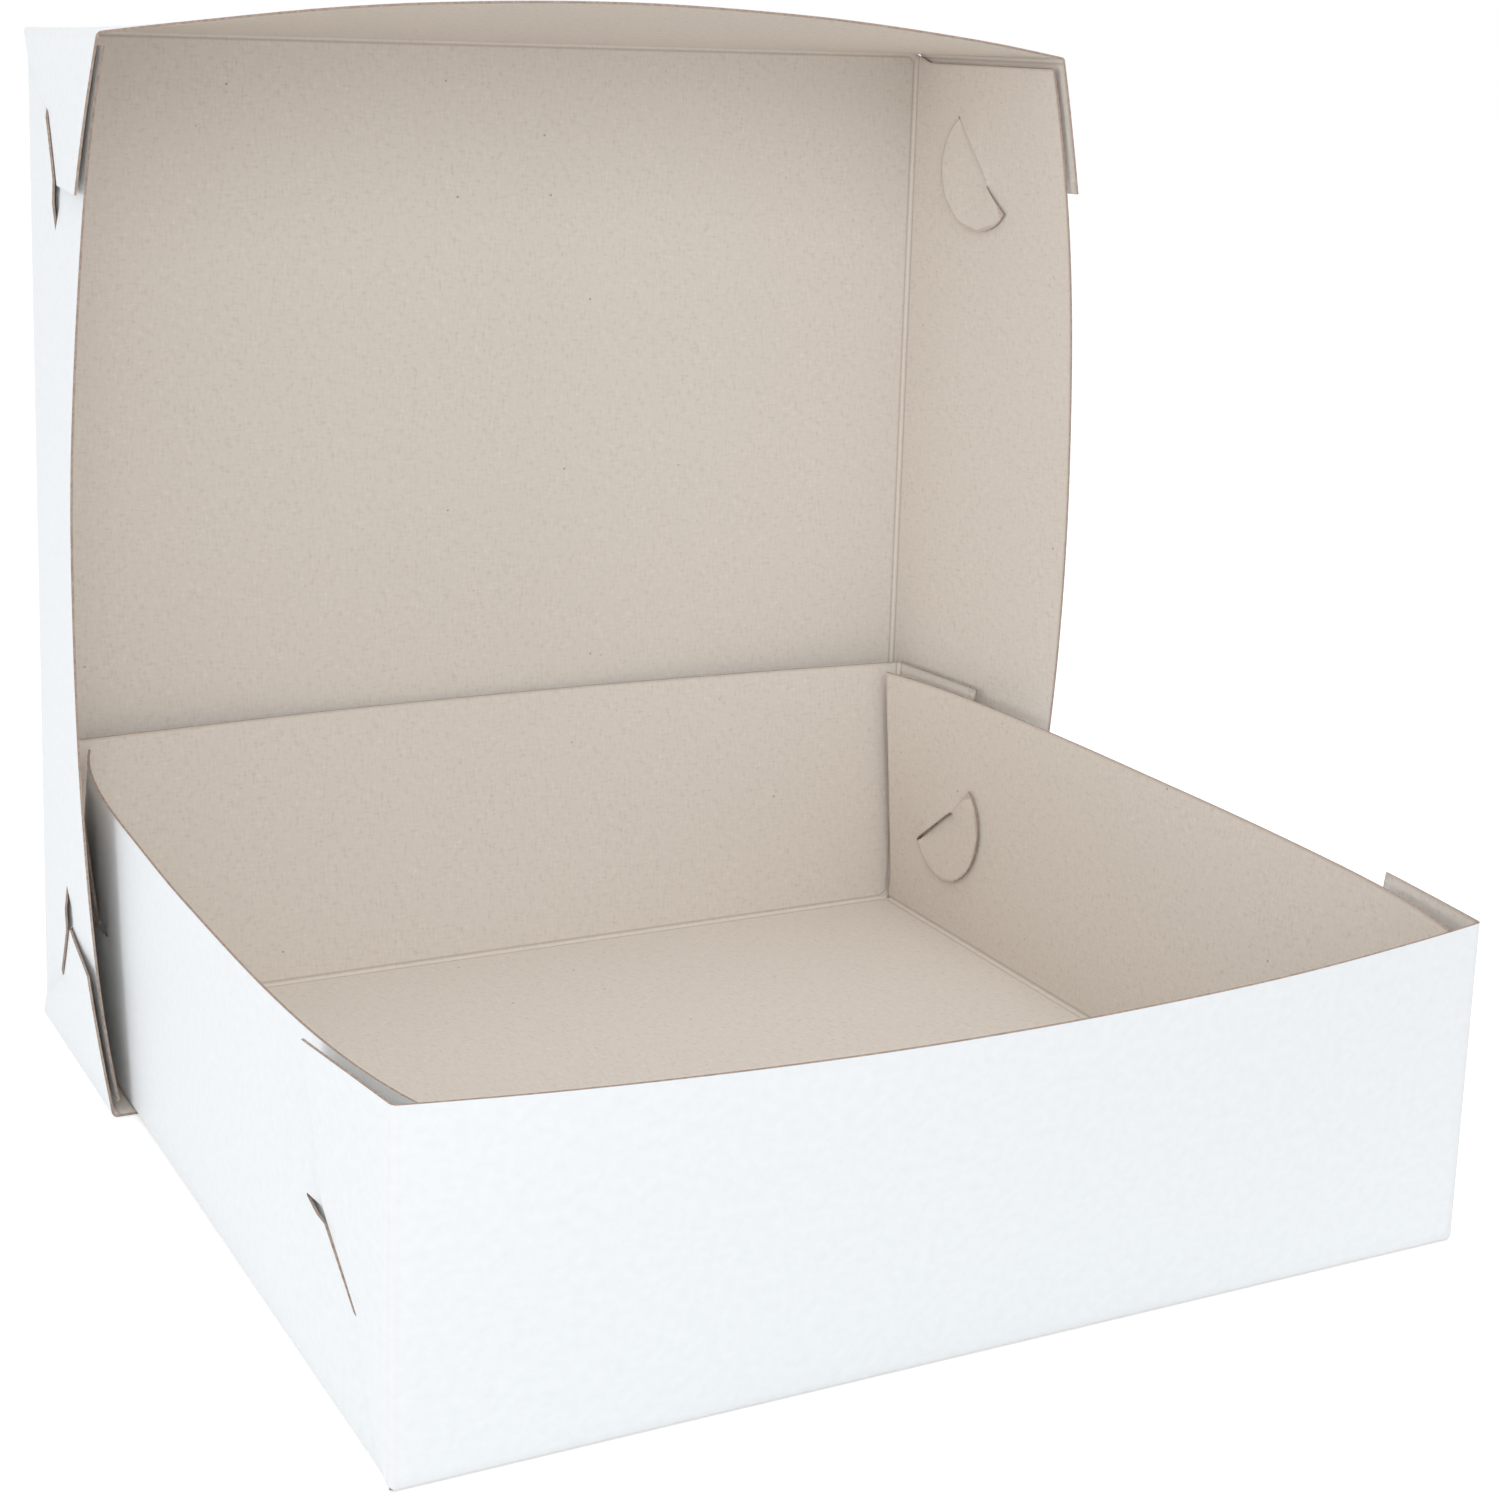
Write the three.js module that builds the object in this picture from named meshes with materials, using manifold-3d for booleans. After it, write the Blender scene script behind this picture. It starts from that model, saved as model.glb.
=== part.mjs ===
// A two-piece cake box of folded board: an open tray, and a lid as deep as the tray that stands
// on one of its own skirts behind it, with the tray set down on that skirt.
// Each piece is one cut sheet: a panel, two end walls, two side walls, and a flap at both ends of
// each end wall. The flap wraps round the outside of the side wall and its half-round tongue goes
// in through a slit there, which locks the corner.
// Millimetres, +X right, +Y back, +Z up.

import * as THREE from "three";
import { mergeVertices } from "three/addons/utils/BufferGeometryUtils.js";
import Module from "manifold-3d";

const wasm = await Module();
wasm.setup();

// Driving dimensions
const board = 0.6;
const foldRadius = 1.2;

const trayWidth = 254;
const trayDepth = 254;
const trayHeight = 76.2;
const trayFrontBow = 14;
const trayBackBow = 6.5;
const traySideBow = 4;
const traySideToe = 4.5;

const lidPlay = 3.2;
const lidSkirt = 76.2;
const lidTopBow = 10.5;
const lidLeftBow = 8.5;
const lidRightBow = 12;
const lidSideToe = 1.5;

// The corner lock, measured from the folded corner along the side wall, and from the panel up
const flapLength = 37;
const flapTopSlope = 2;
const flapGap = 0.3;
const flapRise = 3;
const flapHeel = 6.5;
const flapHeelRise = 6;
const tongueAlong = flapLength - 4;
const tongueUp = 34.5;
const tongueRadius = 17.5;
const tongueFrom = -146;
const tongueTo = 48;
const tongueGap = 0.7;
const notchAlong = flapLength - 1.4;
const notchUp = 38;
const notchHeight = 3;
const rampWidth = 2.2;
const slitWidth = 2.3;
const slitReach = 12;

// The free ends of the side walls stand just inside the end walls
const endGap = 0.5;
const endRelief = 2.2;
const endReliefRise = 9;

// How the two pieces stand together
const restGap = 0.3;
const backRoom = 8;
const lidShift = -0.5;

// Steps along a wall, up it where a flap lies on it, and round an arc
const wallSteps = 14;
const sideSteps = 20;
const rows = 6;
const arcSteps = 14;

// A closed geometry as a solid that can be joined and cut
function solid(geometry) {
  const bare = new THREE.BufferGeometry();
  bare.setAttribute("position", geometry.getAttribute("position"));
  if (geometry.index) bare.setIndex(geometry.index);
  const merged = mergeVertices(bare, 1e-5);
  const vertProperties = new Float32Array(merged.getAttribute("position").array);
  const triVerts = new Uint32Array(merged.index.array);
  if (signedVolume(vertProperties, triVerts) < 0) {
    for (let i = 0; i < triVerts.length; i += 3) {
      [triVerts[i + 1], triVerts[i + 2]] = [triVerts[i + 2], triVerts[i + 1]];
    }
  }
  return new wasm.Manifold(new wasm.Mesh({ numProp: 3, vertProperties, triVerts }));
}

function signedVolume(points, faces) {
  const a = new THREE.Vector3();
  const b = new THREE.Vector3();
  const c = new THREE.Vector3();
  let volume = 0;
  for (let i = 0; i < faces.length; i += 3) {
    a.fromArray(points, 3 * faces[i]);
    b.fromArray(points, 3 * faces[i + 1]);
    c.fromArray(points, 3 * faces[i + 2]);
    volume += a.dot(b.cross(c)) / 6;
  }
  return volume;
}

function geometryOf(body) {
  const { vertProperties, triVerts } = body.getMesh();
  const geometry = new THREE.BufferGeometry();
  geometry.setAttribute("position", new THREE.BufferAttribute(vertProperties, 3));
  geometry.setIndex(new THREE.BufferAttribute(triVerts, 1));
  geometry.computeVertexNormals();
  return geometry;
}

// Moves each point of a geometry by a rule of its place
function bend(geometry, rule) {
  const position = geometry.getAttribute("position");
  const point = new THREE.Vector3();
  for (let i = 0; i < position.count; i++) {
    rule(point.fromBufferAttribute(position, i));
    position.setXYZ(i, point.x, point.y, point.z);
  }
  return geometry;
}

// Section of a wall and the edge of the panel it folds up from: (0, 0) is the outer corner
function foldSection(height, bands) {
  const inner = foldRadius - board;
  const section = new THREE.Shape();
  section.moveTo(foldRadius + board, 0);
  section.lineTo(foldRadius + board, board);
  section.lineTo(foldRadius, board);
  section.absarc(foldRadius, foldRadius, inner, -Math.PI / 2, -Math.PI, true);
  const level = (i) => foldRadius + ((height - foldRadius) * i) / bands;
  for (let i = 1; i <= bands; i++) section.lineTo(board, level(i));
  for (let i = bands; i >= 0; i--) section.lineTo(0, level(i));
  section.absarc(foldRadius, foldRadius, foldRadius, Math.PI, 1.5 * Math.PI, false);
  section.closePath();
  return section;
}

// A wall along its length, standing at (across = 0), with the section's own axes across and up.
// place(across, along, up) gives each point its place in the carton.
function foldedWall(height, from, to, steps, bands, place) {
  const geometry = new THREE.ExtrudeGeometry(foldSection(height, bands), {
    depth: to - from,
    steps,
    bevelEnabled: false,
    curveSegments: 4,
  });
  return solid(bend(geometry, (p) => p.copy(place(p.x, from + p.z, p.y))));
}

// A flat outline through the thickness of a wall, wide enough to cut a bowed one
function cutter(outline, reach, place) {
  const geometry = new THREE.ExtrudeGeometry(outline, {
    depth: 2 * reach,
    bevelEnabled: false,
    curveSegments: 6,
  });
  return solid(bend(geometry, (p) => p.copy(place(p.z - reach, p.x, p.y))));
}

// A slot with round ends between two points
function slot(from, to, width) {
  const angle = Math.atan2(to.y - from.y, to.x - from.x);
  const outline = new THREE.Shape();
  outline.absarc(to.x, to.y, width / 2, angle - Math.PI / 2, angle + Math.PI / 2, false);
  outline.absarc(from.x, from.y, width / 2, angle + Math.PI / 2, angle + 1.5 * Math.PI, false);
  outline.closePath();
  return outline;
}

// A thin sheet from regions of its flat outline. Neighbouring regions share their common points.
// A point's z is how far out the middle of the board lies there.
function sheet(regions, place) {
  const points = [];
  const known = new Map();
  const faces = [];
  const edges = new Map();
  for (const region of regions) {
    const flat = region.map((p) => new THREE.Vector2(p.x, p.y));
    const turned = THREE.ShapeUtils.isClockWise(flat);
    const loop = turned ? [...region].reverse() : region;
    const outline = loop.map((p) => new THREE.Vector2(p.x, p.y));
    const ids = loop.map((p) => {
      const key = `${p.x.toFixed(4)} ${p.y.toFixed(4)}`;
      if (!known.has(key)) {
        known.set(key, points.length);
        points.push(p);
      }
      return known.get(key);
    });
    for (const face of THREE.ShapeUtils.triangulateShape(outline, [])) {
      const [a, b, c] = face.map((k) => ids[k]);
      faces.push([a, b, c]);
      for (const [from, to] of [[a, b], [b, c], [c, a]]) edges.set(`${from} ${to}`, [from, to]);
    }
  }
  const count = points.length;
  const index = [];
  for (const [a, b, c] of faces) index.push(a, b, c, c + count, b + count, a + count);
  for (const [from, to] of edges.values()) {
    if (edges.has(`${to} ${from}`)) continue;
    index.push(to, from, from + count, to, from + count, to + count);
  }
  const position = [];
  for (const side of [board / 2, -board / 2]) {
    for (const p of points) position.push(...place(p.z + side, p.x, p.y).toArray());
  }
  const geometry = new THREE.BufferGeometry();
  geometry.setAttribute("position", new THREE.Float32BufferAttribute(position, 3));
  geometry.setIndex(index);
  return solid(geometry);
}

// How far a side wall's rim stands out at a distance from the corner, and its free end turns in
function sideRim(size, bow, along) {
  const u = 1 - (2 * along) / size.depth;
  return { out: bow * (1 - u * u), toe: size.toe * u ** 6 };
}

// A wall starts to lean above its crease, and leans most at its rim
function lean(size, up) {
  return Math.max(0, up - foldRadius) / (size.height - foldRadius);
}

function sideOut(size, bow, along, up) {
  const rim = sideRim(size, bow, along);
  return (rim.out - rim.toe) * lean(size, up);
}

function flapOut(size, bow, along, up) {
  return sideRim(size, bow, along).out * lean(size, up);
}

// The flap, the ramp through the slit and the tongue inside, as regions of one flat outline
function lockRegions(size, bow) {
  const angle = (degrees) => THREE.MathUtils.degToRad(degrees);
  const onArc = (degrees) => new THREE.Vector2(
    tongueAlong + tongueRadius * Math.cos(angle(degrees)),
    tongueUp + tongueRadius * Math.sin(angle(degrees)),
  );
  const near = onArc(tongueFrom);
  const notch = new THREE.Vector2(notchAlong, notchUp);
  const along = notch.clone().sub(near).normalize();
  const across = new THREE.Vector2(-along.y, along.x).multiplyScalar(rampWidth / 2);
  const outside = (a, up) => new THREE.Vector3(a, up, flapOut(size, bow, a, up) + flapGap + board / 2);
  const inside = (a, up) => {
    const wall = sideOut(size, bow, a, up);
    return new THREE.Vector3(a, up, wall - board - tongueGap - board / 2);
  };
  const top = (a) => outside(a, size.height - (flapTopSlope * a) / flapLength);

  const start = outside(board / 2, flapRise);
  const heel = outside(flapHeel, flapHeelRise);
  const nearOut = outside(near.x + across.x, near.y + across.y);
  const notchOut = outside(notch.x + across.x, notch.y + across.y);
  const middle = outside((nearOut.x + notchOut.x) / 2, (nearOut.y + notchOut.y) / 2);
  const nearIn = inside(near.x - across.x, near.y - across.y);
  const notchIn = inside(notch.x - across.x, notch.y - across.y);
  const corner = outside(flapLength, notchOut.y + notchHeight);

  const level = (foot, i) => {
    const head = top(foot.x).y;
    return i === 0 ? foot : outside(foot.x, foot.y + ((head - foot.y) * i) / rows);
  };
  const column = (left, right) => Array.from({ length: rows }, (_, i) =>
    [level(left, i), level(right, i), level(right, i + 1), level(left, i + 1)]);
  const arc = [];
  for (let i = 1; i <= arcSteps; i++) {
    const p = onArc(tongueFrom + ((tongueTo - tongueFrom) * i) / arcSteps);
    arc.push(inside(p.x, p.y));
  }
  const tip = arc[arc.length - 1];
  const hook = inside(tip.x - 2, tip.y - 2.5);
  const inward = across.clone().setLength(tongueRadius / 2);
  const centre = inside(tongueAlong - inward.x, tongueUp - inward.y);
  const half = arcSteps / 2;
  return [
    ...column(start, heel),
    ...column(heel, nearOut),
    ...column(nearOut, middle),
    ...column(middle, notchOut),
    ...column(notchOut, corner),
    [nearIn, notchIn, notchOut, middle, nearOut],
    [nearIn, ...arc.slice(0, half), centre],
    [centre, ...arc.slice(half - 1), hook, notchIn],
    [nearIn, centre, notchIn],
  ];
}

// The slit that the tongue goes through: a straight run and a shorter one away from the corner
function slitPath() {
  const from = THREE.MathUtils.degToRad(tongueFrom);
  const near = new THREE.Vector2(
    tongueAlong + tongueRadius * Math.cos(from),
    tongueUp + tongueRadius * Math.sin(from),
  );
  const notch = new THREE.Vector2(notchAlong, notchUp);
  const far = new THREE.Vector2(notchAlong + slitReach, notchUp + board);
  return [near, notch, far];
}

// A carton: panel at the bottom, walls up, its front lower edge on the X axis.
// size: width, depth, height, toe, and how far the rim of each wall bows out
function carton(size) {
  const half = size.width / 2;
  const endHalf = half + flapGap + board;

  const panel = new THREE.BoxGeometry(size.width - 2 * foldRadius, size.depth - 2 * foldRadius, board);
  panel.translate(0, size.depth / 2, board / 2);
  let body = solid(panel);

  for (const end of ["front", "back"]) {
    const y = (across) => (end === "front" ? across : size.depth - across);
    const bowAt = (x) => size[end] * (1 - (x / endHalf) ** 2);
    const wall = foldedWall(size.height, -endHalf, endHalf, wallSteps, 1, (across, x, up) =>
      new THREE.Vector3(x, y(across - bowAt(x) * lean(size, up)), up));
    const outline = new THREE.Shape([
      new THREE.Vector2(-half + foldRadius, -board),
      new THREE.Vector2(half - foldRadius, -board),
      new THREE.Vector2(endHalf + board, flapRise),
      new THREE.Vector2(endHalf + board, size.height + board),
      new THREE.Vector2(-endHalf - board, size.height + board),
      new THREE.Vector2(-endHalf - board, flapRise),
    ]);
    const reach = size[end] + 4 * foldRadius;
    const shape = cutter(outline, reach, (through, x, up) => new THREE.Vector3(x, y(through), up));
    body = body.add(wall.intersect(shape));
  }

  for (const [side, sign] of [["left", -1], ["right", 1]]) {
    const bow = size[side];
    const start = foldRadius + board + endGap;
    const x = (across) => sign * (half - across);
    const bowed = (across, along, up) =>
      new THREE.Vector3(x(across - sideOut(size, bow, along, up)), along, up);
    let wall = foldedWall(size.height, start, size.depth - start, sideSteps, rows, bowed);
    const reach = bow + size.toe + 4 * foldRadius;
    const outline = new THREE.Shape([
      new THREE.Vector2(0, -board),
      new THREE.Vector2(size.depth, -board),
      new THREE.Vector2(size.depth - start, foldRadius),
      new THREE.Vector2(size.depth - start - endRelief, endReliefRise),
      new THREE.Vector2(size.depth - start - endRelief, size.height + board),
      new THREE.Vector2(start + endRelief, size.height + board),
      new THREE.Vector2(start + endRelief, endReliefRise),
      new THREE.Vector2(start, foldRadius),
    ]);
    wall = wall.intersect(cutter(outline, reach, (through, along, up) =>
      new THREE.Vector3(x(through), along, up)));

    const [near, notch, far] = slitPath();
    for (const y of [(a) => a, (a) => size.depth - a]) {
      for (const run of [slot(near, notch, slitWidth), slot(notch, far, slitWidth)]) {
        wall = wall.subtract(cutter(run, reach, (through, along, up) =>
          new THREE.Vector3(x(through), y(along), up)));
      }
      const lock = sheet(lockRegions(size, bow), (out, along, up) =>
        new THREE.Vector3(x(-out), y(along), up));
      body = body.add(lock);
    }
    body = body.add(wall);
  }
  return body;
}

function piece(name, size, colour) {
  const material = new THREE.MeshStandardMaterial({ color: colour, roughness: 0.62, metalness: 0 });
  const mesh = new THREE.Mesh(geometryOf(carton(size)), material);
  mesh.name = name;
  return mesh;
}

// The tray, its sides fitted inside the lid
const tray = piece("tray", {
  width: trayWidth,
  depth: trayDepth,
  height: trayHeight,
  toe: traySideToe,
  front: trayFrontBow,
  back: trayBackBow,
  left: traySideBow,
  right: traySideBow,
}, 0xe6e9ea);

// The lid stands with its panel upright and its front end wall flat on the ground, as a foot
const lidSpan = (size) => size + 2 * (lidPlay + board);
const lid = piece("lid", {
  width: lidSpan(trayWidth),
  depth: lidSpan(trayDepth),
  height: lidSkirt,
  toe: lidSideToe,
  front: 0,
  back: lidTopBow,
  left: lidLeftBow,
  right: lidRightBow,
}, 0xd9dcdd);

const panelBack = trayDepth + backRoom + board;
lid.rotation.x = Math.PI / 2;
lid.position.set(lidShift, panelBack, 0);

// The tray leans forward a little: its front edge is on the ground, its back on the lid's foot
const footRim = panelBack - lidSkirt;
const tilt = Math.asin((board + restGap) / (footRim - foldRadius));
const pivot = new THREE.Group();
pivot.position.set(0, foldRadius, 0);
pivot.rotation.x = tilt;
tray.position.set(0, -foldRadius, 0);
pivot.add(tray);

const box = new THREE.Group();
box.add(pivot, lid);

// Origin at the middle of the box's footprint, on the ground
box.updateMatrixWorld(true);
const bounds = new THREE.Box3().setFromObject(box, true);
const centre = bounds.getCenter(new THREE.Vector3());
box.position.set(-centre.x, -centre.y, -bounds.min.z);

export default box;
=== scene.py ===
"""Cake box of folded board: an open tray, and its lid standing on one skirt behind it.

Each of the two is made as its maker does: the flat blank is cut and scored, then folded up.
"""

import math

import bmesh
import bpy
from mathutils import Euler, Matrix, Vector, noise


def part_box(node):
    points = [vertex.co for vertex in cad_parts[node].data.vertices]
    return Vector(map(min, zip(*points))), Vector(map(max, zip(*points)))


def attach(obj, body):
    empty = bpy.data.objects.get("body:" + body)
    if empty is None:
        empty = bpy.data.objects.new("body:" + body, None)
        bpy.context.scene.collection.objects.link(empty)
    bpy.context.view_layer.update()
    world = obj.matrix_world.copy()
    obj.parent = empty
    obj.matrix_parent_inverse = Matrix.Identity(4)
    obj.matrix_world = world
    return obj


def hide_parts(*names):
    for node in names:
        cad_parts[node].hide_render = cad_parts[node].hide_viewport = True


bl_info = {
    "name": "Cake Box",
    "version": (1, 0, 0),
    "blender": (4, 5, 0),
    "location": "3D View > Sidebar > Cake Box",
    "description": "Folds an open board cake tray and the lid that stands behind it",
    "category": "Object",
}

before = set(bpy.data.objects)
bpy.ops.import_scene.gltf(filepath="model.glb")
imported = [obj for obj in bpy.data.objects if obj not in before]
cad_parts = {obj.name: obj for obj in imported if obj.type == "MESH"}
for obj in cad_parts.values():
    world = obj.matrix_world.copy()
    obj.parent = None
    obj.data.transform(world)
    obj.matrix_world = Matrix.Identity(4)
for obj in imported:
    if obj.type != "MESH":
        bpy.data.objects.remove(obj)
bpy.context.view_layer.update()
TRAY_LOW, TRAY_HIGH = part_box("tray")
LID_LOW, LID_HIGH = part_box("lid")

MM = 0.001


def linear(hex_colour):
    """sRGB hex colour as linear red, green, blue."""
    channels = (int(hex_colour[i:i + 2], 16) / 255 for i in (1, 3, 5))
    return tuple(c / 12.92 if c <= 0.04045 else ((c + 0.055) / 1.055) ** 2.4 for c in channels)


def rgba(colour):
    return (*colour, 1.0)


def length_property(name, description, default):
    return bpy.props.FloatProperty(
        name=name, description=description, default=default * MM,
        unit="LENGTH", subtype="DISTANCE")


def colour_property(name, description, default):
    return bpy.props.FloatVectorProperty(
        name=name, description=description, default=linear(default), size=3,
        min=0, max=1, subtype="COLOR")


class CakeBoxSizes(bpy.types.PropertyGroup):
    board: length_property("Board", "Thickness of the board", 0.6)
    fold: length_property("Fold", "Outer radius of a folded crease", 1.2)
    tray_side: length_property("Tray side", "Width and depth of the tray outside", 254)
    height: length_property("Height", "Height of the walls of tray and lid", 76.2)
    play: length_property("Play", "Room between a tray wall and a lid skirt", 3.2)
    tray_front: length_property("Front bow", "How far the tray's front rim bows out", 14)
    tray_back: length_property("Back bow", "How far the tray's back rim bows out", 6.5)
    tray_sides: length_property("Side bow", "How far the tray's side rims bow out", 4)
    tray_toe: length_property("Tray toe", "How far a tray side's free end turns in", 6.5)
    lid_top: length_property("Lid top bow", "How far the lid's upper skirt bows up", 10.5)
    lid_left: length_property("Lid left bow", "How far the lid's left skirt bows out", 8.5)
    lid_right: length_property("Lid right bow", "How far the lid's right skirt bows out", 12)
    lid_toe: length_property("Lid toe", "How far a lid skirt's free end turns in", 1.5)
    flap: length_property("Flap", "Length of a corner flap along the side wall", 37)
    tray_flare: length_property("Tray flare", "How far a tray flap springs off its wall", 3)
    lid_flare: length_property("Lid flare", "How far a lid flap springs off its skirt", 1.4)
    back_room: length_property("Back room", "Room between the tray and the lid's panel", 8)
    rest_gap: length_property("Rest gap", "Clearance where the tray lies on the lid's skirt", 0.3)


class CakeBoxColours(bpy.types.PropertyGroup):
    coated: colour_property("Coated face", "White clay coating, outside", "#F1F5F8")
    coated_shade: colour_property("Coating shade", "Thinner places of the coating", "#EDF1F4")
    bare: colour_property("Bare face", "Uncoated recycled board, inside", "#E5DED6")
    bare_shade: colour_property("Bare shade", "Darker fibres of the bare face", "#D9D0C7")
    # Bare light also paints the highlight on a score's bead
    bare_light: colour_property("Bare light", "Paler fibres of the bare face", "#EDE6DE")
    # The score colour is partly pressed board and partly painted shade in the grooves beside a
    # fold
    score: colour_property("Score", "Board pressed down on both sides of a fold", "#B3A79B")
    speck: colour_property("Specks", "Stray dark fibres in the recycled pulp", "#A39384")
    cut: colour_property("Cut edge", "Board cut by the die, seen edge on", "#B9A79B")
    cut_shade: colour_property("Cut shade", "Compressed side of a cut edge", "#9A877B")
    floor: colour_property("Floor", "Pale floor", "#F4F4F4")


# The rules of a carton's blank. All of its measures are millimetres on the flat board.

# How finely the sheet is divided: bands round a fold, the grid, and a line close to each score
FOLD_BANDS = 4
CORNER_BANDS = 3
GRID = 8.0
FLAP_GRID = 4.0
SCORE_REACH = 2.0

# Two places on the blank closer than the first are one, and halves closer than the second join
TOLERANCE = 1e-4
JOIN = 1e-3

# The corner fold, and the flap that it turns round the outside of the side wall
CORNER_RADIUS = 0.9
FLAP_GAP = 0.3
FLAP_RISE = 1.0
FLAP_TOP_SLOPE = 0.4
FLAP_HEEL = (6.5, 4.5)

# The half-round tongue at the flap's end, how it lies inside the wall, and its hooked notch
TONGUE_INSET = 4.0
TONGUE_UP = 34.5
TONGUE_RADIUS = 17.5
TONGUE_FROM = math.radians(-146)
TONGUE_TO = math.radians(48)
TONGUE_STEPS = 22
TONGUE_GAP = 0.2
TONGUE_LIFT = 0.6
NOTCH_INSET = 1.4
NOTCH_UP = 38.0
NOTCH_HEIGHT = 3.0
NOTCH_BEARING = math.radians(56)
HOOK = (2.0, 2.5)

# The ramp from flap to tongue: its width, the slack at its ends, how far back from it the sheet
# is divided, and the smallest distance to the flap's side of it
RAMP = 0.7
RAMP_END = 0.01
RAMP_REACH = 3.0
FLAP_SIDE = 0.001

# The slit that the tongue goes through, how far its lips part, and how that fades from it
SLIT = 1.0
SLIT_END = 0.7
SLIT_REACH = 12.0
SLIT_ARC_STEPS = 4
LIP = 0.9
LIP_FADE = 2.5
LIP_START = 0.3
LIP_REACH = 7.0

# The free end of a side wall, which stands inside the end wall
END_GAP = -0.25
END_RELIEF = 2.2
END_RELIEF_RISE = 9.0
SIDE_DROP = 2.0

# How the folded board gives: a toed-in end, a sprung flap, uneven walls and a panel just off flat
TOE_CURVE = 6
SPRING_CURVE = 1.5
WARP = 0.45
WARP_SPAN = (52, 48)
WARP_FADE = 5
WALL_APART = 7.3
LID_SEED = 3.7
TRAY_SEED = 9.1
PANEL_RISE = 0.6
PANEL_RISE_SPAN = 90

# A score stops short of a corner. Far from all of them the distance is cut off
SCORE_END = 1.0
NO_SCORE = 20.0

# A crease sharper than this is shaded as an edge
SHARP_FOLD = math.radians(38)

# The parts of a quarter of the blank
PANEL, SIDE, END = 0, 1, 2


class Carton:
    """The measures of one carton, and the rule that folds a point of its blank."""

    def __init__(self, sizes, width, depth, bows, toe, flare, seed):
        self.board = sizes.board / MM
        self.fold = sizes.fold / MM
        self.height = sizes.height / MM
        self.flap = sizes.flap / MM
        self.half = width / 2
        self.half_depth = depth / 2
        self.depth = depth
        self.front, self.back, self.left, self.right = bows
        self.toe = toe
        self.flare = flare
        self.seed = seed
        self.bend = self.fold - self.board / 2
        self.arc = math.pi / 2 * self.bend
        self.flat_x = self.half - self.fold
        self.flat_y = self.half_depth - self.fold
        self.start = self.fold + END_GAP
        self.corner_x = self.half + FLAP_GAP + self.board / 2
        self.end_half = self.half + FLAP_GAP + self.board
        self.corner_arc = math.pi / 2 * CORNER_RADIUS
        self.tongue = Vector((self.flap - TONGUE_INSET, TONGUE_UP))
        self.near = self.on_tongue(TONGUE_FROM)
        self.notch = Vector((self.flap - NOTCH_INSET, NOTCH_UP))
        self.ramp_along = (self.notch - self.near).normalized()
        self.ramp_across = Vector((-self.ramp_along.y, self.ramp_along.x))
        self.ramp_length = (self.notch - self.near).length
        self.slit_length = self.ramp_length + SLIT_REACH

    def on_tongue(self, angle):
        return self.tongue + TONGUE_RADIUS * Vector((math.cos(angle), math.sin(angle)))

    # Places on the blank

    def side_s(self, up):
        """How far from the middle of the blank a height of a side wall lies."""
        return self.flat_x + self.arc + up - self.fold

    def end_t(self, up):
        """How far from the middle of the blank a height of an end wall lies."""
        return self.flat_y + self.arc + up - self.fold

    def flap_s(self, along):
        """Where a distance along a flap, from the folded corner, lies on the blank."""
        return self.corner_x - self.board / 2 + along - (2 - math.pi / 2) * CORNER_RADIUS

    def flap_along(self, s):
        """How far along a flap, from the folded corner, a place on the blank lies."""
        return s - self.flap_s(0)

    # Shape of the folded walls

    def lean(self, up):
        """0 at the foot of a wall, 1 at its rim."""
        return max(0.0, up - self.fold) / (self.height - self.fold)

    def warp(self, side, along_y, up):
        """The board's own slight unevenness."""
        place = Vector((along_y / WARP_SPAN[0], up / WARP_SPAN[1], self.seed + WALL_APART * side))
        return WARP * noise.noise(place) * self.lean(up)

    def rim(self, bow, along):
        """How far out the rim bows and how far in its free end turns, at a distance along it."""
        u = 1 - 2 * along / self.depth
        return bow * (1 - u * u), self.toe * u ** TOE_CURVE

    def slit_place(self, along, up):
        """How far along the slit, and how far to the flap's side of it, a point lies."""
        step = Vector((along, up)) - self.near
        run, off = step.dot(self.ramp_along), step.dot(self.ramp_across)
        past = Vector((along, up)) - self.notch
        if run > self.ramp_length and past.x > 0:
            return self.ramp_length + past.x, past.y - past.x * self.board / SLIT_REACH
        return run, off

    def press(self, run, off):
        """The tongue pulls the board in on the flap's side of a slit, and lifts the other lip."""
        ends = min(1.0, max(0.0, run / LIP_FADE + LIP_START))
        ends *= min(1.0, max(0.0, (self.slit_length - run) / LIP_FADE))
        hand = -1 if off > 0 else 1
        return hand * LIP * ends * math.exp(-abs(off) / LIP_REACH)

    def side_out(self, bow, along, up):
        """How far out of its upright plane a point of a side wall lies."""
        out, toe = self.rim(bow, along)
        return (out - toe) * self.lean(up) + self.press(*self.slit_place(along, up))

    def lock_out(self, bow, along, up):
        """How far out of the side wall's plane a point of the corner lock lies."""
        loose = max(0.0, (up - NOTCH_UP) / (self.height - NOTCH_UP))
        spring = self.flare * along / self.flap * loose ** SPRING_CURVE
        outside = self.rim(bow, along)[0] * self.lean(up) + FLAP_GAP + self.board / 2 + spring
        run, off = self.slit_place(along, up)
        outside += self.press(run, max(off, FLAP_SIDE))
        share, depth = self.outside_share(along, up)
        lift = TONGUE_GAP + TONGUE_LIFT * depth / TONGUE_RADIUS
        inside = self.side_out(bow, along, up) - self.board - lift - self.board / 2
        return inside + (outside - inside) * share

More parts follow.
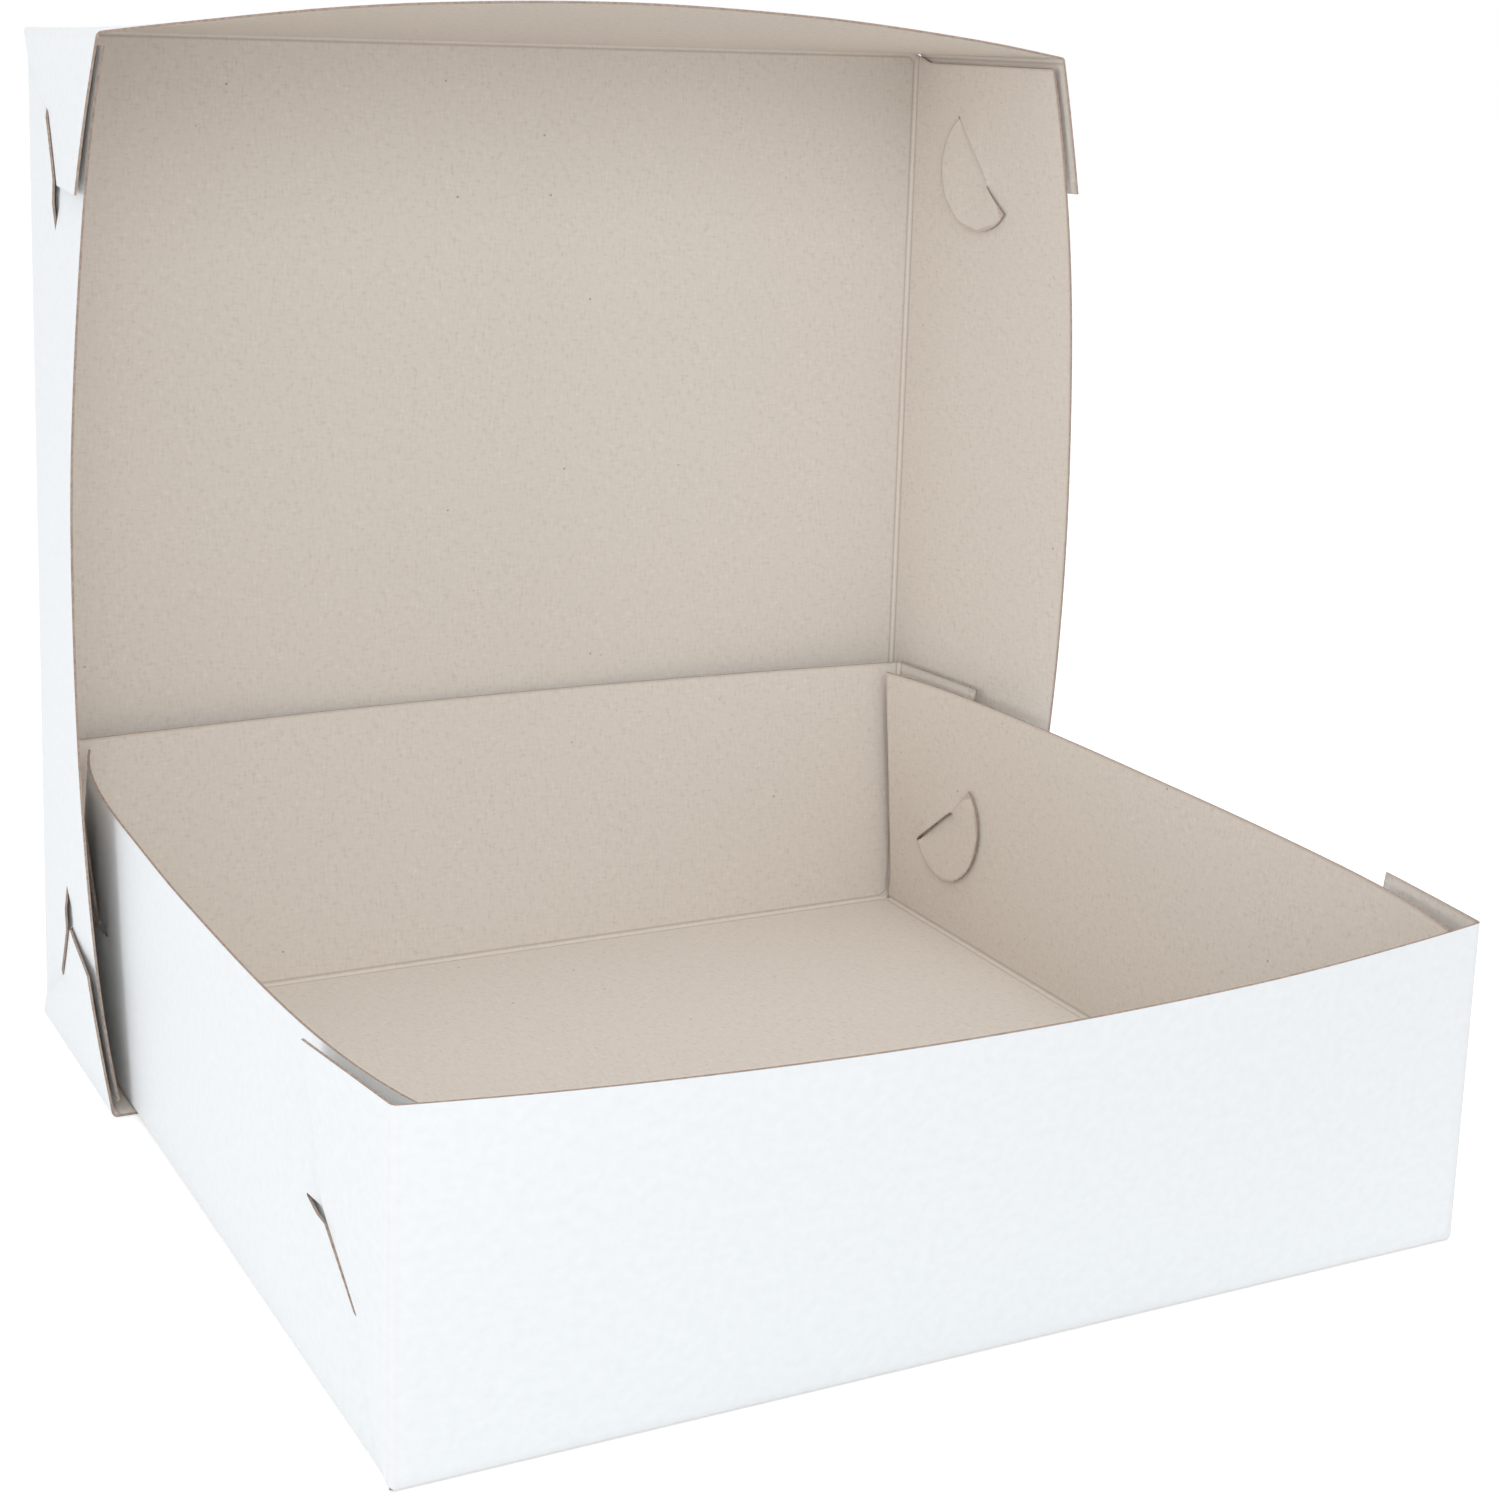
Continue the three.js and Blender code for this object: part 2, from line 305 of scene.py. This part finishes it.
    def outside_share(self, along, up):
        """1 on the flap, 0 on the tongue inside the wall, between them on the ramp.

        With it comes how far past the slit the point lies.
        """
        step = Vector((along, up)) - self.near
        run = step.dot(self.ramp_along)
        off = step.dot(self.ramp_across)
        if run < -RAMP_END:
            return 1.0, 0.0
        if run > self.ramp_length + RAMP_END:
            past = Vector((along, up)) - self.notch
            bearing = math.atan2(past.y, past.x)
            return (1.0, 0.0) if bearing > NOTCH_BEARING else (0.0, past.length)
        return min(1.0, max(0.0, 0.5 + off / RAMP)), max(0.0, -off)

    def folded(self, s, t):
        """The place of a point of the blank once folded, measured from the front lower edge."""
        hand = math.copysign(1, s)
        way = math.copysign(1, t)
        across, along = abs(s), abs(t)
        bow = self.right if hand > 0 else self.left
        if along > self.flat_y + TOLERANCE:
            return self.folded_end(across, along, hand, way, bow)
        if across > self.flat_x + TOLERANCE:
            out, up = self.over_fold(across - self.flat_x)
            x = self.flat_x + out
            if out > self.bend - TOLERANCE:
                from_end = self.half_depth - along
                x += self.side_out(bow, from_end, up) + self.warp(hand, t, up)
            return Vector((hand * x, self.half_depth + t, up))
        inner = (1 - (s / self.flat_x) ** 2) * (1 - (t / self.flat_y) ** 2)
        place = Vector((s / PANEL_RISE_SPAN, t / PANEL_RISE_SPAN, self.seed))
        rise = PANEL_RISE * inner * (0.5 + noise.noise(place))
        return Vector((s, self.half_depth + t, self.board / 2 + max(0, rise)))

    def over_fold(self, past):
        """How far out and up a point lies that is some way past the start of a fold."""
        if past < self.arc:
            angle = past / self.bend
            return self.bend * math.sin(angle), self.fold - self.bend * math.cos(angle)
        return self.bend, self.fold + past - self.arc

    def folded_end(self, across, along, hand, way, bow):
        """The place of a point of an end wall, its corner fold, a flap or a tongue."""
        out, up = self.over_fold(along - self.flat_y)
        turned = across - (self.corner_x - CORNER_RADIUS)
        end_bow = self.front if way < 0 else self.back
        y = self.flat_y + out
        if turned <= 0:
            x = across
            inward = 0.0
        elif turned < self.corner_arc:
            angle = turned / CORNER_RADIUS
            x = self.corner_x - CORNER_RADIUS * (1 - math.sin(angle))
            inward = CORNER_RADIUS * (1 - math.cos(angle))
        else:
            x = self.corner_x
            inward = CORNER_RADIUS + turned - self.corner_arc
        bulge = max(0.0, 1 - (min(across, x) / self.end_half) ** 2)
        y += end_bow * bulge * self.lean(up)
        flat = max(0.0, 1 - across / self.corner_x)
        y += self.warp(2 * way, hand * across, up) * min(1.0, WARP_FADE * flat)
        y -= inward
        if inward > 0:
            from_corner = inward + self.board / 2
            fold_share = min(1.0, inward / CORNER_RADIUS)
            x += self.lock_out(bow, from_corner, up) - FLAP_GAP - self.board / 2
            x += self.warp(hand, way * (self.half_depth - from_corner), up) * fold_share
        return Vector((hand * x, self.half_depth + way * y, up))

    def crease_distance(self, s, t):
        """How far a point of the blank is from the nearest score."""
        across, along = abs(s), abs(t)
        middle = self.arc / 2
        found = [NO_SCORE]
        if along < self.half_depth - SCORE_END:
            found.append(abs(across - self.flat_x - middle))
        if across < self.half + SCORE_END:
            found.append(abs(along - self.flat_y - middle))
        if along > self.flat_y + SCORE_END:
            found.append(abs(across - self.corner_x + CORNER_RADIUS - self.corner_arc / 2))
        return min(found)


def cut(bm, parts, layer, point, normal, near=None):
    """Cuts the faces of some parts of the blank along a straight line."""
    faces = [f for f in bm.faces
             if f[layer] in parts and (near is None or near(f.calc_center_median()))]
    edges = {e for f in faces for e in f.edges}
    verts = {v for f in faces for v in f.verts}
    bmesh.ops.bisect_plane(
        bm, geom=[*faces, *edges, *verts], dist=TOLERANCE,
        plane_co=(*point, 0), plane_no=(*normal, 0))


def steps(low, high, stride):
    """Evenly spread places between two ends, without the ends."""
    count = max(1, round((high - low) / stride))
    return [low + (high - low) * i / count for i in range(1, count)]


def inside(outline, point):
    """Whether a point lies in a convex outline that runs anticlockwise."""
    return all(
        (b - a).cross(point - a) > 0
        for a, b in zip(outline, [*outline[1:], outline[0]]))


def slit_outline(start, end, width):
    """A slit with rounded ends."""
    heading = (end - start).normalized()
    angle = math.atan2(heading.y, heading.x)
    points = []
    for centre, turn in ((end, -math.pi / 2), (start, math.pi / 2)):
        for i in range(SLIT_ARC_STEPS + 1):
            bearing = angle + turn + math.pi * i / SLIT_ARC_STEPS
            points.append(centre + width / 2 * Vector((math.cos(bearing), math.sin(bearing))))
    return points


def quarter_outlines(c):
    """The outlines of a quarter of the blank: panel, side wall, end wall with flap and tongue."""
    free_end = c.half_depth - c.start
    relief = free_end - END_RELIEF
    rim = c.side_s(c.height - SIDE_DROP)
    panel = [(0, 0), (c.flat_x, 0), (c.flat_x, free_end), (c.flat_x, c.flat_y), (0, c.flat_y)]
    side = [
        (c.flat_x, 0), (rim, 0), (rim, relief),
        (c.side_s(END_RELIEF_RISE), relief), (c.side_s(c.fold), free_end), (c.flat_x, free_end)]

    half_ramp = c.ramp_across * RAMP / 2
    arc = [c.on_tongue(TONGUE_FROM + (TONGUE_TO - TONGUE_FROM) * i / TONGUE_STEPS)
           for i in range(1, TONGUE_STEPS + 1)]
    notch_out = c.notch + half_ramp
    lock = [
        Vector((c.board / 2, FLAP_RISE)), Vector(FLAP_HEEL), c.near + half_ramp,
        c.near - half_ramp, *arc, arc[-1] - Vector(HOOK), c.notch - half_ramp, notch_out,
        Vector((c.flap, notch_out.y + NOTCH_HEIGHT)),
        Vector((c.flap, c.height - FLAP_TOP_SLOPE)), Vector((0, c.height))]
    end = [(0, c.flat_y), (c.flat_x, c.flat_y)]
    end += [(c.flap_s(p.x), c.end_t(p.y)) for p in lock]
    end.append((0, c.end_t(c.height)))
    return ((PANEL, panel), (SIDE, side), (END, end))


def flat_blank(c):
    """The cut and scored blank as a flat mesh, its grid fine enough to bend."""
    bm = bmesh.new()
    layer = bm.faces.layers.int.new("part")
    known = {}
    for part, outline in quarter_outlines(c):
        corners = []
        for point in outline:
            key = (round(point[0], 4), round(point[1], 4))
            if key not in known:
                known[key] = bm.verts.new((*point, 0))
            corners.append(known[key])
        face = bm.faces.new(corners)
        face[layer] = part

    bends = [c.arc * i / FOLD_BANDS for i in range(1, FOLD_BANDS + 1)]
    rows = (c.fold + SCORE_REACH, *steps(c.fold, c.height, GRID))
    for s in (*steps(0, c.flat_x, GRID), c.flat_x - SCORE_REACH):
        cut(bm, (PANEL, END), layer, (s, 0), (1, 0))
    for t in (*steps(0, c.half_depth - c.start, GRID), c.flat_y - SCORE_REACH):
        cut(bm, (PANEL, SIDE), layer, (0, t), (0, 1))
    for past in bends:
        cut(bm, (SIDE,), layer, (c.flat_x + past, 0), (1, 0))
        cut(bm, (END,), layer, (0, c.flat_y + past), (0, 1))
    for up in rows:
        cut(bm, (SIDE,), layer, (c.side_s(up), 0), (1, 0))
        cut(bm, (END,), layer, (0, c.end_t(up)), (0, 1))
    corner = c.corner_x - CORNER_RADIUS
    for i in range(CORNER_BANDS + 1):
        cut(bm, (END,), layer, (corner + c.corner_arc * i / CORNER_BANDS, 0), (1, 0))
    for along in steps(CORNER_RADIUS, c.flap + TONGUE_RADIUS, FLAP_GRID):
        cut(bm, (END,), layer, (c.flap_s(along), 0), (1, 0))

    # The ramp from the flap through the slit to the tongue
    for side in (-RAMP / 2, RAMP / 2):
        point = c.near + c.ramp_across * side
        cut(bm, (END,), layer, (c.flap_s(point.x), c.end_t(point.y)), c.ramp_across,
            near=lambda p: c.flap_along(p.x) > c.near.x - RAMP_REACH)

    # The slits in the side wall
    far = c.notch + Vector((SLIT_REACH, c.board))
    for first, last, width in ((c.near, c.notch, SLIT), (c.notch, far, SLIT_END)):
        outline = [Vector((c.side_s(p.y), c.half_depth - p.x))
                   for p in slit_outline(first, last, width)]
        middle = sum(outline, Vector((0, 0))) / len(outline)
        reach = max((p - middle).length for p in outline) + GRID
        for a, b in zip(outline, [*outline[1:], outline[0]]):
            run = b - a
            cut(bm, (SIDE,), layer, a, (-run.y, run.x),
                near=lambda p: (p.xy - middle).length < reach)
        waste = [f for f in bm.faces
                 if f[layer] == SIDE and inside(outline, f.calc_center_median().xy)]
        bmesh.ops.delete(bm, geom=waste, context="FACES")

    for axis in "XY":
        bmesh.ops.mirror(bm, geom=[*bm.verts, *bm.edges, *bm.faces], merge_dist=JOIN, axis=axis)
    for f in bm.faces:
        f.normal_update()
        if f.normal.z < 0:
            f.normal_flip()
    return bm


def cut_distance(v):
    """Roughly how far a point of the flat blank lies from the nearest cut."""
    if v.is_boundary:
        return 0.0
    return min((e.calc_length() for e in v.link_edges if e.other_vert(v).is_boundary),
               default=GRID)


def folded_mesh(name, c, placed):
    """Folds the blank up and gives the board its thickness: bare face, coated face, cut edge."""
    bm = flat_blank(c)
    blank_map = bm.loops.layers.uv.new("blank")
    crease = bm.verts.layers.float.new("crease")
    cut_edge = bm.verts.layers.float.new("cut_edge")
    for f in bm.faces:
        for loop in f.loops:
            loop[blank_map].uv = loop.vert.co.xy * MM
    for v in bm.verts:
        # The distance from the nearest cut sets the painted shade along cut edges
        v[cut_edge] = cut_distance(v)
    for v in bm.verts:
        s, t = v.co.xy
        v[crease] = c.crease_distance(s, t)
        v.co = placed @ (c.folded(s, t) * MM)
    bm.normal_update()
    mesh = bpy.data.meshes.new(name)
    bm.to_mesh(mesh)
    bm.free()

    sheet = bpy.data.objects.new(name, mesh)
    bpy.context.scene.collection.objects.link(sheet)
    for material in board_materials():
        mesh.materials.append(material)
    wall = sheet.modifiers.new("board", "SOLIDIFY")
    wall.thickness = c.board * MM
    wall.offset = 0
    wall.use_even_offset = True
    wall.use_quality_normals = True
    wall.material_offset = 1
    wall.material_offset_rim = 2
    solid = bpy.data.meshes.new_from_object(
        sheet.evaluated_get(bpy.context.evaluated_depsgraph_get()))
    sheet.modifiers.clear()
    sheet.data = solid
    bpy.data.meshes.remove(mesh)
    solid.name = name
    solid.shade_smooth()
    solid.set_sharp_from_angle(angle=SHARP_FOLD)
    return sheet


# A Mix node that mixes colours takes them at these sockets, and gives the mix at this one
MIX_A, MIX_B, MIXED = 6, 7, 2

# The share of the pulp's cells that have a speck, and how dark a score's two lines are: partly the
# pressed board's own tone, partly painted shade in the grooves beside the fold
SPECKED_CELLS = 0.45
UNPRESSED = (0, 0, 0)
PRESSED_AND_SHADED = (0.6, 0.6, 0.6)


def plug(tree, target, links):
    """Gives a node's sockets, by name or number, their values or links."""
    for socket, value in links.items():
        if isinstance(value, bpy.types.NodeSocket):
            tree.links.new(value, target.inputs[socket])
        else:
            target.inputs[socket].default_value = value


def node(tree, kind, links=None, **settings):
    """Adds a node, with its settings and its sockets' values or links."""
    added = tree.nodes.new(kind)
    for name, value in settings.items():
        setattr(added, name, value)
    plug(tree, added, links or {})
    return added


def spread(tree, value, source, target=(0, 1)):
    """A value spread from one range over another."""
    return node(tree, "ShaderNodeMapRange", {
        0: value, "From Min": source[0], "From Max": source[1],
        "To Min": target[0], "To Max": target[1]}).outputs[0]


def mixed(tree, share, first, second):
    """Two colours mixed, with a share of the second."""
    return node(tree, "ShaderNodeMix", {
        "Factor": share, MIX_A: first, MIX_B: second}, data_type="RGBA").outputs[MIXED]


def worked_out(tree, operation, first, second):
    """The result of a sum, product or other operation on two values."""
    return node(tree, "ShaderNodeMath", {0: first, 1: second}, operation=operation).outputs[0]


def colour_ramp(tree, share, stops):
    """A ramp of colours, given by the places and colours of its stops, both ends first."""
    ramp = node(tree, "ShaderNodeValToRGB", {0: share})
    elements = ramp.color_ramp.elements
    for i, (position, colour) in enumerate(stops):
        stop = elements[i] if i < 2 else elements.new(position)
        stop.position = position
        stop.color = colour
    return ramp.outputs["Color"]


def grain(tree, place, scale, detail, roughness):
    """Cloudy noise, from 0 to 1."""
    return node(tree, "ShaderNodeTexNoise", {
        "Vector": place, "Scale": scale, "Detail": detail, "Roughness": roughness}).outputs["Fac"]


def bump(tree, height, strength, distance):
    return node(tree, "ShaderNodeBump", {
        "Height": height, "Strength": strength, "Distance": distance}).outputs[0]


def vertex_value(tree, name):
    """A value that the mesh keeps at its vertices."""
    return node(tree, "ShaderNodeAttribute", attribute_name=name).outputs["Fac"]


def new_material(name):
    """A material with an empty tree but for its shader and output."""
    material = bpy.data.materials.new(name)
    material.use_nodes = True
    tree = material.node_tree
    tree.nodes.clear()
    shader = node(tree, "ShaderNodeBsdfPrincipled")
    output = node(tree, "ShaderNodeOutputMaterial", {"Surface": shader.outputs[0]})
    output.is_active_output = True
    return material, tree, shader


def bare_board(colours):
    """Uncoated newsback: grey-beige recycled pulp, matt, with matted fibres and stray specks."""
    material, tree, shader = new_material("newsback_bare")
    place = node(tree, "ShaderNodeUVMap", uv_map="blank").outputs["UV"]
    # Fibres lie in loose wisps about 0.7 x 3 mm, in two directions
    wisps = []
    for scale, turn in (((1300, 320, 1), 0.5), ((360, 1200, 1), 1.1)):
        turned = node(tree, "ShaderNodeMapping", {
            "Vector": place, "Rotation": (0, 0, turn), "Scale": scale})
        wisps.append(grain(tree, turned.outputs[0], scale=1.0, detail=3.0, roughness=0.6))
    fibres = worked_out(tree, "ADD", *wisps)
    colour = colour_ramp(tree, spread(tree, fibres, (0.72, 1.28)), (
        (0.0, rgba(colours.bare_shade)), (1.0, rgba(colours.bare_light)),
        (0.42, rgba(colours.bare)), (0.66, rgba(colours.bare))))
    # Clouds of thicker and thinner pulp, about 20 mm across
    clouds = grain(tree, place, scale=48.0, detail=4.0, roughness=0.62)
    colour = mixed(tree, spread(tree, clouds, (0.3, 0.7), (0, 0.34)), colour, rgba(colours.bare))
    # In some of its cells, a centimetre wide, the pulp has a stray dark fibre of about 0.5 mm
    cells = node(tree, "ShaderNodeTexVoronoi", {"Vector": place, "Scale": 105.0})
    speck = spread(tree, cells.outputs["Distance"], (0.024, 0.05), (0.75, 0))
    chosen = worked_out(tree, "LESS_THAN", cells.outputs["Color"], SPECKED_CELLS)
    colour = mixed(tree, worked_out(tree, "MULTIPLY", speck, chosen), colour, rgba(colours.speck))
    # The score: a painted highlight on the bead along the fold, between two dark lines beside it
    # that are partly the pressed board's own tone and partly painted shade in the grooves
    score = vertex_value(tree, "crease")
    pressed_and_shaded = colour_ramp(tree, spread(tree, score, (0.7, 1.7)), (
        (0.0, rgba(UNPRESSED)), (1.0, rgba(UNPRESSED)), (0.4, rgba(PRESSED_AND_SHADED))))
    colour = mixed(tree, pressed_and_shaded, colour, rgba(colours.score))
    bead_highlight = spread(tree, score, (0.1, 0.7), (0.5, 0))
    colour = mixed(tree, bead_highlight, colour, rgba(colours.bare_light))
    # Painted shade: the bare face is darkened toward the cut edge's colour for about half a
    # millimetre along every cut, where a cut edge would cast its shadow
    painted_edge_shade = spread(tree, vertex_value(tree, "cut_edge"), (0.1, 0.8), (0.5, 0))
    colour = mixed(tree, painted_edge_shade, colour, rgba(colours.cut))
    plug(tree, shader, {
        "Base Color": colour, "Roughness": 0.88, "Specular IOR Level": 0.25,
        "Normal": bump(tree, fibres, strength=0.22, distance=0.00012)})
    return material


def coated_board(colours):
    """Clay-coated face: cool white, smooth and softly sheened, the fibres just felt through it."""
    material, tree, shader = new_material("clay_coated_white")
    place = node(tree, "ShaderNodeUVMap", uv_map="blank").outputs["UV"]
    # The coating lies unevenly over clumps of pulp about 2 mm across
    clumps = grain(tree, place, scale=420.0, detail=5.0, roughness=0.6)
    colour = mixed(tree, spread(tree, clumps, (0.35, 0.7)),
                   rgba(colours.coated), rgba(colours.coated_shade))
    # Along a score the coating is stretched and the board shows through a little
    stretch = spread(tree, vertex_value(tree, "crease"), (0.3, 1.6), (0.22, 0))
    colour = mixed(tree, stretch, colour, rgba(colours.bare))
    felt = grain(tree, place, scale=900.0, detail=3.0, roughness=0.55)
    plug(tree, shader, {
        "Base Color": colour, "Roughness": spread(tree, clumps, (0.3, 0.7), (0.46, 0.6)),
        "Specular IOR Level": 0.4,
        "Normal": bump(tree, felt, strength=0.08, distance=0.0001)})
    return material


def cut_board(colours):
    """The die-cut edge: layers of pulp seen end on, darker and rougher than either face."""
    material, tree, shader = new_material("board_cut_edge")
    place = node(tree, "ShaderNodeTexCoord").outputs["Object"]
    # Torn fibres about 1 mm long
    torn = grain(tree, place, scale=900.0, detail=4.0, roughness=0.7)
    colour = mixed(tree, spread(tree, torn, (0.35, 0.65)),
                   rgba(colours.cut), rgba(colours.cut_shade))
    plug(tree, shader, {
        "Base Color": colour, "Roughness": 0.92, "Specular IOR Level": 0.2,
        "Normal": bump(tree, torn, strength=0.4, distance=0.0001)})
    return material


def board_materials():
    """The three materials of a sheet, in the order that its thickness gives them."""
    colours = bpy.context.scene.cake_box_colours
    makers = {
        "newsback_bare": bare_board,
        "clay_coated_white": coated_board,
        "board_cut_edge": cut_board,
    }
    return [bpy.data.materials.get(name) or make(colours) for name, make in makers.items()]


def span_of_lid(sizes):
    """Width and depth of the lid in millimetres, with its play round the tray."""
    return (sizes.tray_side + 2 * (sizes.play + sizes.board)) / MM


class CAKE_BOX_OT_fold_lid(bpy.types.Operator):
    """Fold the lid and stand it on its front skirt, panel upright"""
    bl_idname = "cake_box.fold_lid"
    bl_label = "Fold lid"

    def execute(self, context):
        sizes = context.scene.cake_box_sizes
        span = span_of_lid(sizes)
        bows = (0, sizes.lid_top / MM, sizes.lid_left / MM, sizes.lid_right / MM)
        carton = Carton(
            sizes, span, span, bows, sizes.lid_toe / MM, sizes.lid_flare / MM, LID_SEED)
        # The nodes' boxes give the place: the middle between the skirts, and the panel's back
        middle = (LID_LOW.x + LID_HIGH.x - sizes.lid_right + sizes.lid_left) / 2
        standing = Matrix.Translation((middle, LID_HIGH.y, LID_LOW.z))
        standing = standing @ Matrix.Rotation(math.pi / 2, 4, "X")
        lid = folded_mesh("lid_sheet", carton, standing)
        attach(lid, "root")
        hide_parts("lid")
        return {"FINISHED"}


class CAKE_BOX_OT_fold_tray(bpy.types.Operator):
    """Fold the tray and set it down with its back on the lid's skirt"""
    bl_idname = "cake_box.fold_tray"
    bl_label = "Fold tray"

    def execute(self, context):
        sizes = context.scene.cake_box_sizes
        side = sizes.tray_side / MM
        bows = (sizes.tray_front / MM, sizes.tray_back / MM,
                sizes.tray_sides / MM, sizes.tray_sides / MM)
        carton = Carton(
            sizes, side, side, bows, sizes.tray_toe / MM, sizes.tray_flare / MM, TRAY_SEED)
        # Its front edge is on the ground, its back on the rim of the lid's lower skirt
        panel_back = sizes.tray_side + sizes.back_room + sizes.board
        lift = sizes.board + sizes.rest_gap
        tilt = math.asin(lift / (panel_back - sizes.height - sizes.fold))
        front = LID_HIGH.y - panel_back
        middle = (TRAY_LOW.x + TRAY_HIGH.x) / 2
        hinge = Matrix.Translation((0, sizes.fold, 0))
        tipped = hinge @ Matrix.Rotation(tilt, 4, "X") @ hinge.inverted()
        placed = Matrix.Translation((middle, front, 0)) @ tipped
        tray = folded_mesh("tray_sheet", carton, placed)
        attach(tray, "root")
        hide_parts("tray")
        return {"FINISHED"}


# The stage

CAMERA_PLACE = (-0.28018, -0.54147, 0.26689)
CAMERA_TURN = (79.1611, -1.7873, -27.4167)
CAMERA_LENS = 62.898
CAMERA_SENSOR = 36
CAMERA_SHIFT_Y = -0.1467
WHITE = (1, 1, 1)
AMBIENT = 0.74
FLOOR_GLOW = 0.4
FLOOR_RADIUS = 9
FLOOR_LEVEL = -0.0002

# Name, place, size and power of each soft lamp, all of them turned to one point of the box
LAMPS = (
    ("key", (-1.8, -0.5, 0.25), 0.5, 5.0),
    ("fill", (-0.4, -2.1, 1.3), 1.2, 9.0),
    ("top", (-0.1, -0.6, 2.2), 1.4, 8.0),
)
LAMP_TARGET = (0, 0, 0.08)


class CAKE_BOX_OT_set_stage(bpy.types.Operator):
    """Lay the pale floor, hang the soft lamps and set the camera"""
    bl_idname = "cake_box.set_stage"
    bl_label = "Set stage"

    def execute(self, context):
        scene = context.scene
        self.lay_floor(scene)
        self.light(scene)
        camera = bpy.data.cameras.new("camera")
        camera.lens = CAMERA_LENS
        camera.sensor_width = CAMERA_SENSOR
        camera.shift_y = CAMERA_SHIFT_Y
        camera.clip_start = 0.01
        viewer = bpy.data.objects.new("camera", camera)
        viewer.location = CAMERA_PLACE
        viewer.rotation_euler = Euler([math.radians(a) for a in CAMERA_TURN], "XYZ")
        scene.collection.objects.link(viewer)
        scene.camera = viewer
        scene.view_settings.view_transform = "Standard"
        return {"FINISHED"}

    def lay_floor(self, scene):
        bm = bmesh.new()
        bmesh.ops.create_circle(bm, cap_ends=True, segments=64, radius=FLOOR_RADIUS)
        bmesh.ops.translate(bm, verts=bm.verts, vec=(0, 0, FLOOR_LEVEL))
        mesh = bpy.data.meshes.new("floor")
        bm.to_mesh(mesh)
        bm.free()
        floor = bpy.data.objects.new("floor", mesh)
        scene.collection.objects.link(floor)
        material, tree, shader = new_material("pale_floor")
        plug(tree, shader, {
            "Base Color": rgba(scene.cake_box_colours.floor), "Roughness": 0.9,
            "Specular IOR Level": 0.1})
        glow = worked_out(tree, "MULTIPLY", self.seen_share(tree), FLOOR_GLOW)
        lift = node(tree, "ShaderNodeEmission", {"Color": rgba(WHITE), "Strength": glow})
        both = node(tree, "ShaderNodeAddShader", {0: shader.outputs[0], 1: lift.outputs[0]})
        output = next(n for n in tree.nodes if n.bl_idname == "ShaderNodeOutputMaterial")
        tree.links.new(both.outputs[0], output.inputs["Surface"])
        mesh.materials.append(material)

    def seen_share(self, tree):
        """1 where the eye, a reflection or a clear thing shows the surface, otherwise 0."""
        path = node(tree, "ShaderNodeLightPath").outputs
        seen = worked_out(tree, "MAXIMUM", path["Is Camera Ray"], path["Is Glossy Ray"])
        return worked_out(tree, "MAXIMUM", seen, path["Is Transmission Ray"])

    def light(self, scene):
        world = bpy.data.worlds.new("studio")
        world.use_nodes = True
        scene.world = world
        tree = world.node_tree
        tree.nodes.clear()
        strength = spread(tree, self.seen_share(tree), (0, 1), (AMBIENT, 1))
        sky = node(tree, "ShaderNodeBackground", {"Color": rgba(WHITE), "Strength": strength})
        node(tree, "ShaderNodeOutputWorld", {"Surface": sky.outputs[0]})
        for name, place, size, power in LAMPS:
            lamp = bpy.data.lights.new(name, "AREA")
            lamp.size = size
            lamp.energy = power
            hung = bpy.data.objects.new(name, lamp)
            hung.location = place
            aim = Vector(LAMP_TARGET) - Vector(place)
            hung.rotation_euler = aim.to_track_quat("-Z", "Y").to_euler()
            scene.collection.objects.link(hung)


class CAKE_BOX_PT_panel(bpy.types.Panel):
    bl_label = "Cake Box"
    bl_idname = "CAKE_BOX_PT_panel"
    bl_space_type = "VIEW_3D"
    bl_region_type = "UI"
    bl_category = "Cake Box"

    def draw(self, context):
        for operator in (CAKE_BOX_OT_fold_lid, CAKE_BOX_OT_fold_tray, CAKE_BOX_OT_set_stage):
            self.layout.operator(operator.bl_idname)
        for group in (context.scene.cake_box_sizes, context.scene.cake_box_colours):
            for name in group.__annotations__:
                self.layout.prop(group, name)


CLASSES = (
    CakeBoxSizes, CakeBoxColours,
    CAKE_BOX_OT_fold_lid, CAKE_BOX_OT_fold_tray, CAKE_BOX_OT_set_stage,
    CAKE_BOX_PT_panel,
)


def register():
    for cls in CLASSES:
        bpy.utils.register_class(cls)
    bpy.types.Scene.cake_box_sizes = bpy.props.PointerProperty(type=CakeBoxSizes)
    bpy.types.Scene.cake_box_colours = bpy.props.PointerProperty(type=CakeBoxColours)


def unregister():
    del bpy.types.Scene.cake_box_colours
    del bpy.types.Scene.cake_box_sizes
    for cls in reversed(CLASSES):
        bpy.utils.unregister_class(cls)


def main():
    register()
    bpy.ops.cake_box.fold_lid()
    bpy.ops.cake_box.fold_tray()
    bpy.ops.cake_box.set_stage()


if __name__ == "__main__":
    main()
